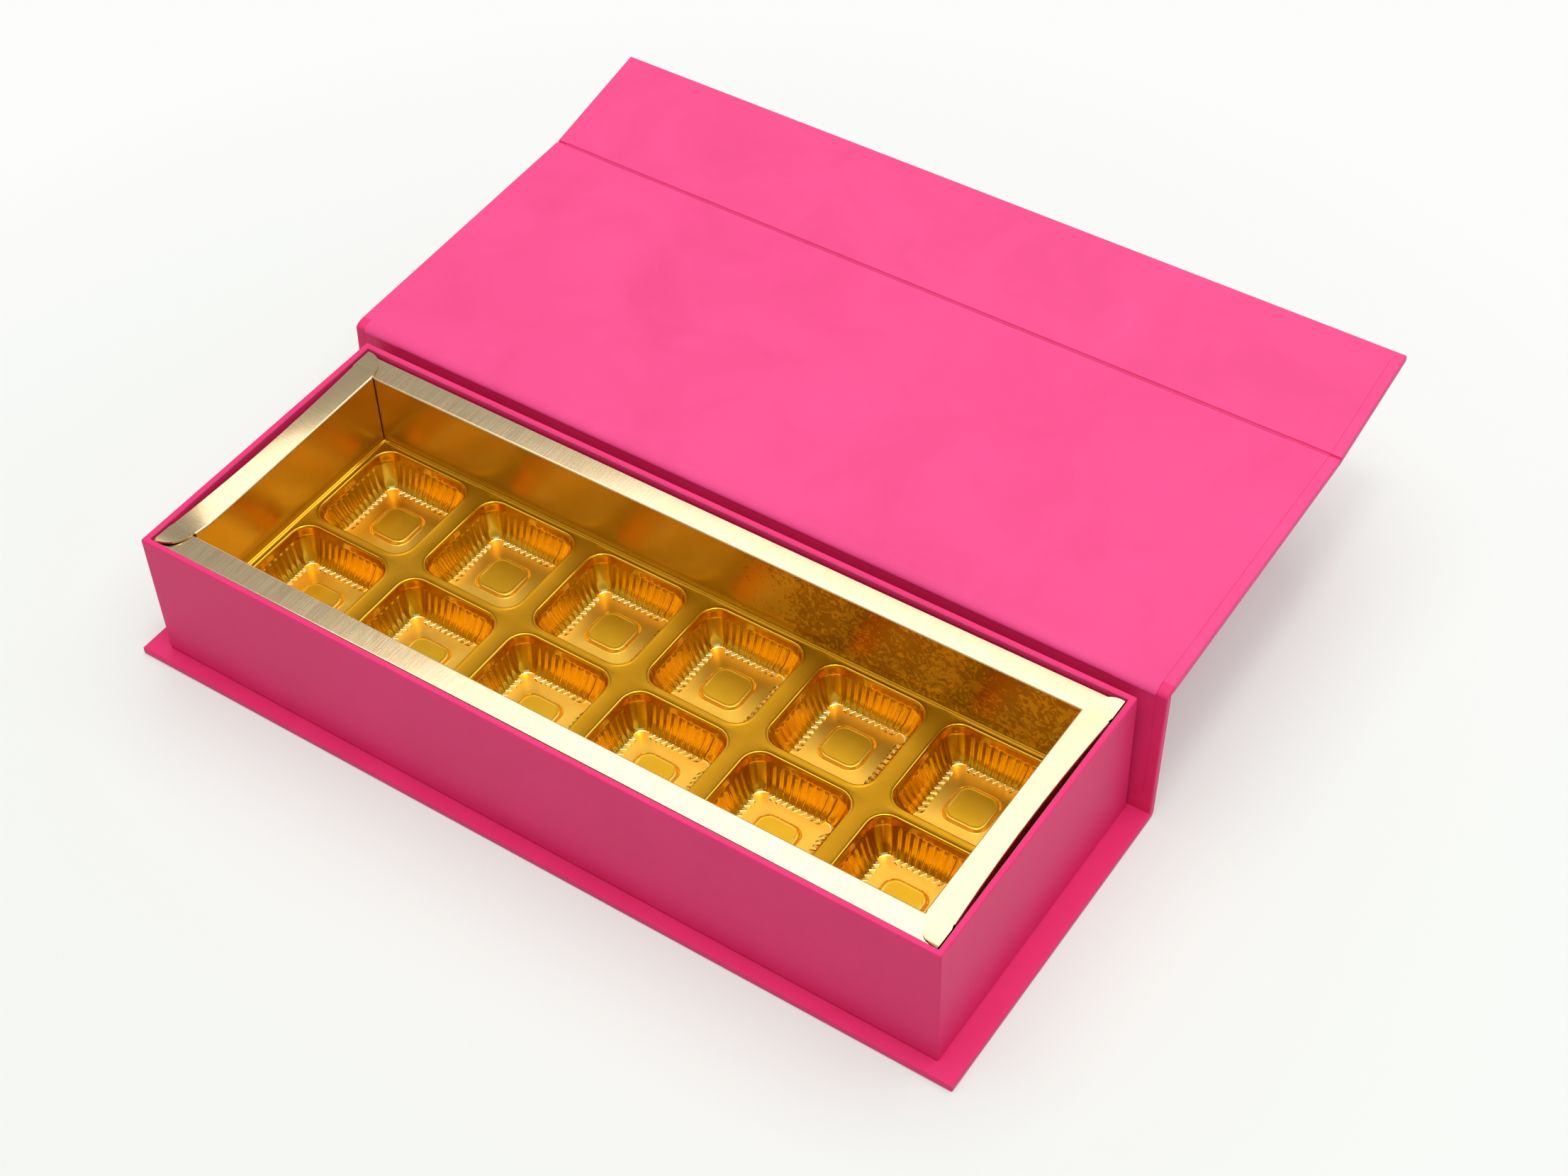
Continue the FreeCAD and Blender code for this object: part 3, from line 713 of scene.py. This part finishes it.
# --- Moulded insert ---------------------------------------------------------------------------
# Gold-lacquered film, vacuum-formed: two rows of six cups with a beaded lip, fluted walls whose
# feet stand out on the floor as small teeth, and a raised pad, in a stepped flange with a skirt.

film = 0.0003
columns, rows = 6, 2
pitch_x, pitch_y = 0.0366, 0.0340
flutes, flute_steps, corner_steps = 9, 4, 6
ring_size = 4 * (flutes * flute_steps + corner_steps)

# From the lip inwards: half width, corner radius, depth below the flange, and depth of the flutes.
cup_rings = (
    (0.01648, 0.00610, 0.0, 0.0),
    (0.01610, 0.00572, -0.00020, 0.0),
    (0.01578, 0.00540, -0.00032, 0.0),
    (0.01550, 0.00512, -0.00018, 0.0),
    (0.01528, 0.00490, 0.00036, 0.0),
    (0.01503, 0.00466, 0.0020, 0.0),
    (0.01490, 0.00456, 0.0024, 0.00030),
    (0.01475, 0.00450, 0.0030, 0.00052),
    (0.01325, 0.00380, 0.0066, 0.00052),
    (0.01215, 0.00330, 0.0081, 0.00070),
    (0.01180, 0.00310, 0.0087, 0.00120),
    (0.01150, 0.00290, 0.00915, 0.00150),
    (0.01125, 0.00275, 0.0093, 0.00135),
    (0.00960, 0.00250, 0.0093, 0.0),
    (0.00650, 0.00370, 0.0093, 0.0),
    (0.00620, 0.00350, 0.00915, 0.0),
    (0.00594, 0.00330, 0.00872, 0.0),
    (0.00564, 0.00300, 0.00845, 0.0),
    (0.00520, 0.00270, 0.00848, 0.0),
    (0.00480, 0.00240, 0.00856, 0.0),
)


def ring_point(number, half, radius, flute):
    """One point round a rounded square whose sides bulge inwards between the flutes' feet."""
    quarter, step = divmod(number, ring_size // 4)
    straight = half - radius
    if step < flutes * flute_steps:
        x = -straight + 2 * straight * step / (flutes * flute_steps)
        y = -half + flute * (0.5 - 0.5 * math.cos(2 * math.pi * step / flute_steps))
    else:
        angle = -0.5 * math.pi * (1 - (step - flutes * flute_steps) / corner_steps)
        x = straight + radius * math.cos(angle)
        y = -straight + radius * math.sin(angle)
    for _ in range(quarter % 4):
        x, y = -y, x
    return x, y


def one_cup():
    """A cup with its share of the web round it, its middle at the origin."""
    bpy.ops.object.select_all(action="DESELECT")
    bpy.ops.mesh.primitive_grid_add(x_subdivisions=ring_size, y_subdivisions=len(cup_rings), size=1)
    cup = bpy.context.object
    for number, corner in enumerate(cup.data.vertices):
        row, column = divmod(number, ring_size + 1)
        if row == 0:
            x, y = ring_point(column, *cup_rings[0][:2], 0.0)
            share_x, share_y = x / cup_rings[0][0], y / cup_rings[0][0]
            grow = 1 / max(abs(share_x), abs(share_y))
            corner.co = (share_x * grow * pitch_x / 2, share_y * grow * pitch_y / 2, flange_top)
        else:
            half, radius, depth, flute = cup_rings[row - 1]
            x, y = ring_point(column, half, radius, flute)
            corner.co = (x, y, flange_top - depth)
    edit(cup, "VERT")
    bpy.ops.mesh.select_all(action="SELECT")
    bpy.ops.mesh.remove_doubles(threshold=0.000002)
    bpy.ops.mesh.select_mode(type="EDGE")
    pad_reach = 0.006
    choose(
        cup,
        lambda middle, edge: edge.is_boundary and abs(middle.x) < pad_reach and abs(middle.y) < pad_reach,
    )
    bpy.ops.mesh.edge_face_add()
    finish_edit()
    return cup


insert = one_cup()
cups = [insert]
for column in range(columns):
    for row in range(rows):
        if (column, row) != (0, 0):
            pick(insert)
            bpy.ops.object.duplicate(linked=False)
            cups.append(bpy.context.object)
        cups[-1].location = (
            (column - (columns - 1) / 2) * pitch_x, (row - (rows - 1) / 2) * pitch_y, 0,
        )
join(cups)
rename(insert, "moulded_insert")
settle(insert)
edit(insert, "VERT")
bpy.ops.mesh.select_all(action="SELECT")
bpy.ops.mesh.remove_doubles(threshold=0.00002)
edge_x, edge_y = columns / 2 * pitch_x, rows / 2 * pitch_y
insert_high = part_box("blister_tray")[1]

# The flange round the cups, loop by loop outwards: how far each loop stands past the frame's inner
# wall, and how high. Two fine ridges run round it, and it ends in a skirt that stands on the floor.
past_wall = insert_high.x - inner_x
flange_loops = (
    (-0.00150, 0.0), (-0.00130, 0.00026), (-0.00105, 0.00026), (-0.00085, 0.0),
    (-0.00050, 0.00026), (-0.00015, 0.0),
    (past_wall - 0.0006, 0.0), (past_wall, -0.0006),
    (past_wall, card_foot + film - flange_top),
)
for number, (stand, level) in enumerate(flange_loops):
    bpy.ops.mesh.select_mode(type="EDGE")
    choose(insert, lambda middle, edge: edge.is_boundary)
    if number:
        pull()
    mesh = bmesh.from_edit_mesh(insert.data)
    past_y = stand if stand < 0 else stand - past_wall + insert_high.y - inner_y
    for corner in mesh.verts:
        if corner.select:
            at_x = abs(abs(corner.co.x) - edge_x) < HAIR
            at_y = abs(abs(corner.co.y) - edge_y) < HAIR
            if at_x:
                corner.co.x = math.copysign(inner_x + stand, corner.co.x)
            if at_y:
                corner.co.y = math.copysign(inner_y + past_y, corner.co.y)
            corner.co.z = flange_top + level
    bmesh.update_edit_mesh(insert.data)
    edge_x, edge_y = inner_x + stand, inner_y + past_y
finish_edit()
modify(insert, "SOLIDIFY", thickness=film, offset=-1)


def gold_film(name, dark, light, roughness):
    """Gold-lacquered film; where it was drawn over the mould's sanded floors it is more satin."""
    material, tree, shader, place = new_finish(name)
    cloud = add_node(
        tree, "TexNoise", {"Vector": place, "Scale": 120.0, "Detail": 5.0, "Roughness": 0.6}
    )
    gloss = add_node(
        tree, "MapRange", {"Value": cloud, "To Min": roughness - 0.03, "To Max": roughness + 0.05}
    )
    feed(tree, shader, {
        "Base Color": shades(tree, cloud, (0.3, dark), (0.7, light)),
        "Metallic": 1.0,
        "Roughness": gloss,
        "Normal": add_node(tree, "Bump", {"Strength": 0.05, "Distance": 0.0001, "Height": cloud}),
    })
    return material


# One film in several copies. Those on the webs, the floors and the pads are darker than the walls': their
# extra roughness is the film's own satin, their darker colour is painted shade.
bright_film = gold_film("gold_film", (0.72, 0.395, 0.022), (0.78, 0.435, 0.030), 0.17)
satin_film_painted_shade = gold_film("gold_film_satin_painted_shade", (0.56, 0.31, 0.036), (0.61, 0.345, 0.048), 0.28)
web_film_painted_shade = gold_film("gold_film_web_painted_shade", (0.40, 0.19, 0.007), (0.45, 0.215, 0.010), 0.42)
pad_film_painted_shade = gold_film("gold_film_pads_painted_shade", (0.50, 0.262, 0.012), (0.56, 0.30, 0.017), 0.32)
# The teeth's copy of the film is near white: a painted highlight on the flutes' feet.
tooth_film_painted_highlight = gold_film("gold_film_teeth_painted_highlight", (1.0, 0.80, 0.36), (1.0, 0.86, 0.46), 0.42)
dress(insert, bright_film, "gold_plastic", "blister_tray", body="tray", smooth=80)
satin, web, teeth, pad = 1, 2, 3, 4
for more in (satin_film_painted_shade, web_film_painted_shade, tooth_film_painted_highlight, pad_film_painted_shade):
    insert.data.materials.append(more)
for face in insert.data.polygons:
    x = (face.center.x / pitch_x) % 1.0 - 0.5
    y = (face.center.y / pitch_y) % 1.0 - 0.5
    across = max(abs(x * pitch_x), abs(y * pitch_y))
    outwards = face.normal.x * x + face.normal.y * y > 0
    depth = flange_top - face.center.z
    # The web's darker copy also runs up over the lips' outer slopes: painted shade that dulls their
    # highlight.
    if face.normal.z > (0.6 if outwards else 0.93) and face.center.z > flange_top - 0.0002:
        face.material_index = web
    elif face.normal.z > 0.9 and across < 0.0050:
        face.material_index = pad
    elif face.normal.z > 0.9 and across < 0.0110 or face.normal.z > 0 and across < 0.0072:
        face.material_index = satin
    # The flutes' feet on the floor take the near-white copy: painted highlight.
    elif face.normal.z > 0.15 and across < 0.0112 and 0.0080 < depth < 0.00929:
        face.material_index = teeth

# --- Folds ------------------------------------------------------------------------------------
# Where the case bends, its paper runs on from board to board, with the same turned-in band at each
# end and the liner pressed down into the crease. Each strip is a flat piece bent to its section.

joints = {joint["name"]: Vector(joint["pos_m"]) for joint in frame["joints"]}
spine_angle, lid_angle, flap_angle = 86.7, 1.65, 11.3
half_thick = (board + 3 * paper) / 2
inner_rise = half_thick - paper
lid_rise = 0.0008
lid_outer = lid_rise - wrapped - paper
flap_outer = -wrapped - paper
half_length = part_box("lid_cover")[1].x
lid_length = 0.091825
# How far each board stops short of its fold line.
foot_short, top_short, lid_short, flap_short = 0.0014, 0.0012, 0.0024, 0.0005

liner_margin = 0.0032
groove = 0.00045
step_depth = 0.00012
liner_half = half_length - liner_margin
cover_margins = ((liner_margin - groove, step_depth), (turn_in, 0.00002))
liner_margins = ((turn_in - liner_margin, step_depth),)
# A paler, whiter copy of the same pink paper, for the lid, the flap and the liners at their folds: painted
# sheen, standing in for the light that pales their tops.
liner_paper = laminated_paper("liner_paper", (0.82, 0.070, 0.240))


def at(joint, angle, reach, rise):
    """A point of a panel's section: how far it lies along the panel from the fold, and above it."""
    turn = math.radians(angle)
    return joints[joint] + Vector((
        0, reach * math.cos(turn) - rise * math.sin(turn), reach * math.sin(turn) + rise * math.cos(turn),
    ))


def on_base(reach, rise):
    return at("spine_hinge", 0, reach, rise)


def on_spine_foot(reach, rise):
    return at("spine_hinge", spine_angle, reach, rise)


def on_spine_top(reach, rise):
    return at("lid_hinge", spine_angle, reach, rise)


def on_lid(reach, rise):
    return at("lid_hinge", lid_angle, reach, rise)


def on_flap(reach, rise):
    return at("flap_hinge", flap_angle, reach, rise)


def along_curve(points, share):
    """The point at a share of the way along a smooth curve pulled by two middle points."""
    a, b, c, d = points
    rest = 1 - share
    return a * rest**3 + b * (3 * rest**2 * share) + c * (3 * rest * share**2) + d * share**3


def bent_strip(name, half, thick, outer, inner, steps, margins, rounded=True):
    """A strip across a fold, bent so that its outer and inner faces follow two curves."""
    length = steps * 0.0003
    strip = wrapped_board(name, half, 0, length, 0, thick, rounded=rounded)
    for inset, depth in margins:
        sink(strip, half - inset, None, None, thick / 2, depth)
    edit(strip, "FACE")
    for step in range(1, steps):
        cut((0, length * step / steps, 0), (0, 1, 0))
    finish_edit()
    for corner in strip.data.vertices:
        share = corner.co.y / length
        low_face, high_face = along_curve(outer, share), along_curve(inner, share)
        place = low_face + (high_face - low_face) * (corner.co.z / thick)
        corner.co = (corner.co.x, place.y, place.z)
    edit(strip, "FACE")
    face_outwards()
    finish_edit()
    return strip


foot = bent_strip(
    "case_fold_at_foot", half_length, wrapped,
    (on_base(-foot_short, -half_thick), on_base(0.0006, -half_thick),
     on_spine_foot(-0.0006, -half_thick), on_spine_foot(foot_short, -half_thick)),
    (on_base(-foot_short, inner_rise), on_base(-0.0011, inner_rise),
     on_spine_foot(0.0011, inner_rise), on_spine_foot(foot_short, inner_rise)),
    12, cover_margins,
)
dress(foot, cover_paper, "cover_paper", "foot_fold_cover")
across = Vector((0, 0.7071, 0.7071))
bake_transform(foot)

roll_outer = (
    on_spine_top(-top_short, -half_thick), on_spine_top(-0.0008, -half_thick - 0.00005),
    on_lid(0.0021, -half_thick - 0.0003), on_lid(lid_short, lid_outer),
)


def roll(rise, lid_level):
    """The soft roll of the paper over the spine's top, from the spine's face to the lid's."""
    return (
        on_spine_top(-top_short, rise), on_spine_top(-0.0003, rise + 0.0002),
        on_lid(0.0004, lid_level), on_lid(lid_short, lid_level),
    )


roll_inner = roll(inner_rise, lid_rise - paper)
roll_cover = bent_strip("case_fold_at_lid", half_length, wrapped, roll_outer, roll_inner, 24, cover_margins)
dress(roll_cover, cover_paper, "cover_paper", "lid_fold_cover")
roll_liner = bent_strip(
    "liner_fold_at_lid", liner_half, paper, roll_inner, roll(half_thick, lid_rise), 24, liner_margins,
    rounded=False,
)
dress(roll_liner, liner_paper, "liner_paper", "lid_fold_liner")
for piece in (roll_cover, roll_liner):
    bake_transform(piece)

crease_outer = (
    on_lid(lid_length - flap_short, lid_outer), on_lid(lid_length, lid_outer),
    on_flap(0, flap_outer), on_flap(flap_short, flap_outer),
)


def crease(lid_level, flap_level):
    """The pressed crease between the lid and the flap."""
    depth, half_width = 0.00075, 0.00005
    return (
        on_lid(lid_length - flap_short, lid_level), on_lid(lid_length - half_width, lid_level - depth),
        on_flap(half_width, flap_level - depth), on_flap(flap_short, flap_level),
    )


crease_inner = crease(lid_rise - paper, -paper)
crease_cover = bent_strip(
    "case_fold_at_flap", half_length, wrapped, crease_outer, crease_inner, 8, cover_margins
)
dress(crease_cover, cover_paper, "cover_paper", "flap_fold_cover")
crease_liner = bent_strip(
    "liner_fold_at_flap", liner_half, paper, crease_inner, crease(lid_rise, 0), 8, liner_margins,
    rounded=False,
)
dress(crease_liner, liner_paper, "liner_paper", "flap_fold_liner")
for piece in (crease_cover, crease_liner):
    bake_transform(piece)

# --- Spine, lid and flap ----------------------------------------------------------------------
# Three more wrapped boards. On their inner faces a second sheet is glued down short of the edges,
# as the liner, and the edges of the turned-in paper show through it as faint steps.

spine_length = (joints["lid_hinge"] - joints["spine_hinge"]).length
flap_depth = 0.0382
liner_foot = 0.0050


def stand_up(piece, joint, angle):
    """Turn a flat panel about its fold line, and put it where that fold is."""
    piece.location = joints[joint]
    piece.rotation_euler.x = math.radians(angle)
    settle(piece)


def panel(body, joint, angle, near, far, outer, finish, liner_short=0.0, turned_far=False):
    """One panel of the case: its cover and its liner, in place of that panel's papers."""
    top = outer + wrapped
    cover = wrapped_board(
        f"case_{body}_paper", half_length, near, far, outer, wrapped, turned_far=turned_far
    )
    for inset, depth in cover_margins:
        foot_edge = near + liner_short - groove if liner_short and inset < liner_margin else None
        far_edge = far - inset if turned_far else None
        sink(cover, half_length - inset, foot_edge, far_edge, outer + wrapped / 2, depth)
    if turned_far:
        for side in (-1, 1):
            mitre(cover, (side * half_length, far, top), (-side, -1, 0), liner_margin - groove)
    liner_far = far - liner_margin if turned_far else far
    liner = wrapped_board(
        f"{body}_liner_paper", liner_half, near + liner_short, liner_far, top, paper, rounded=False
    )
    edit(liner, "VERT")
    bpy.ops.mesh.select_all(action="SELECT")
    lower(step_depth)
    finish_edit()
    for inset, depth in liner_margins:
        far_edge = liner_far - inset if turned_far else None
        sink(liner, liner_half - inset, None, far_edge, top - paper, depth)
    for piece, slot, node in (
        (cover, "cover_paper", f"{body}_cover"),
        (liner, "liner_paper", f"{body}_liner"),
    ):
        stand_up(piece, joint, angle)
        dress(piece, finish, slot, node, body=body)


panel(
    "spine", "spine_hinge", spine_angle, foot_short, spine_length - top_short, -half_thick, cover_paper,
    liner_short=liner_foot,
)
# The lid and the flap take the paler copy of the paper: painted sheen on their lit tops.
panel("lid", "lid_hinge", lid_angle, lid_short, lid_length - flap_short, lid_outer, liner_paper)
panel("flap", "flap_hinge", flap_angle, flap_short, flap_depth, flap_outer, liner_paper, turned_far=True)
